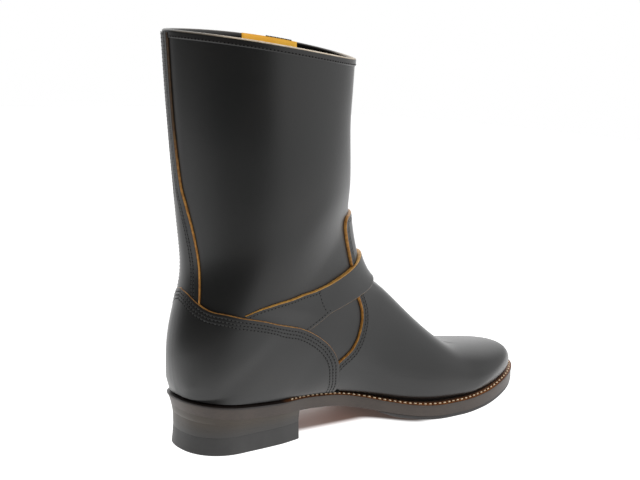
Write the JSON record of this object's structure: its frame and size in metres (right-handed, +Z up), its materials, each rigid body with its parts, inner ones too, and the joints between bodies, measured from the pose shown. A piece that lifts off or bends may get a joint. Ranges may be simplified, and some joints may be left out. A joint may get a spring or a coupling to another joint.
{
  "type": "engineer boot",
  "caption": "Left pull-on leather work boot with tall plain shaft, instep strap and buckle, heel counter, welted leather sole and stacked heel.",
  "frame": {"origin": "on the floor under the middle of the boot's overall box", "axes": "+X from heel to toe, +Y to the outer side of the left foot, +Z up"},
  "size_m": [0.2984, 0.1028, 0.297],
  "materials": {
    "black_leather": "smooth, semi-gloss",
    "tan_leather": "matt, raw",
    "insole_leather": "matt",
    "welt_leather": "waxed",
    "sole_leather": "burnished edge",
    "rubber": "matt",
    "nickel": "polished nickel"
  },
  "bodies": {
    "root": {"upper": "black_leather", "vamp": "black_leather", "counter": "black_leather", "backstay": "black_leather", "instep_strap": "black_leather", "strap_keeper": "black_leather", "buckle_frame": "nickel", "buckle_prong": "nickel", "collar_binding": "black_leather", "collar_patch": "tan_leather", "insole": "insole_leather", "welt": "welt_leather", "outsole": "sole_leather", "half_sole": "rubber", "heel_lift_1": "sole_leather", "heel_lift_2": "sole_leather", "heel_lift_3": "sole_leather", "heel_top_piece": "rubber"}
  },
  "joints": []
}
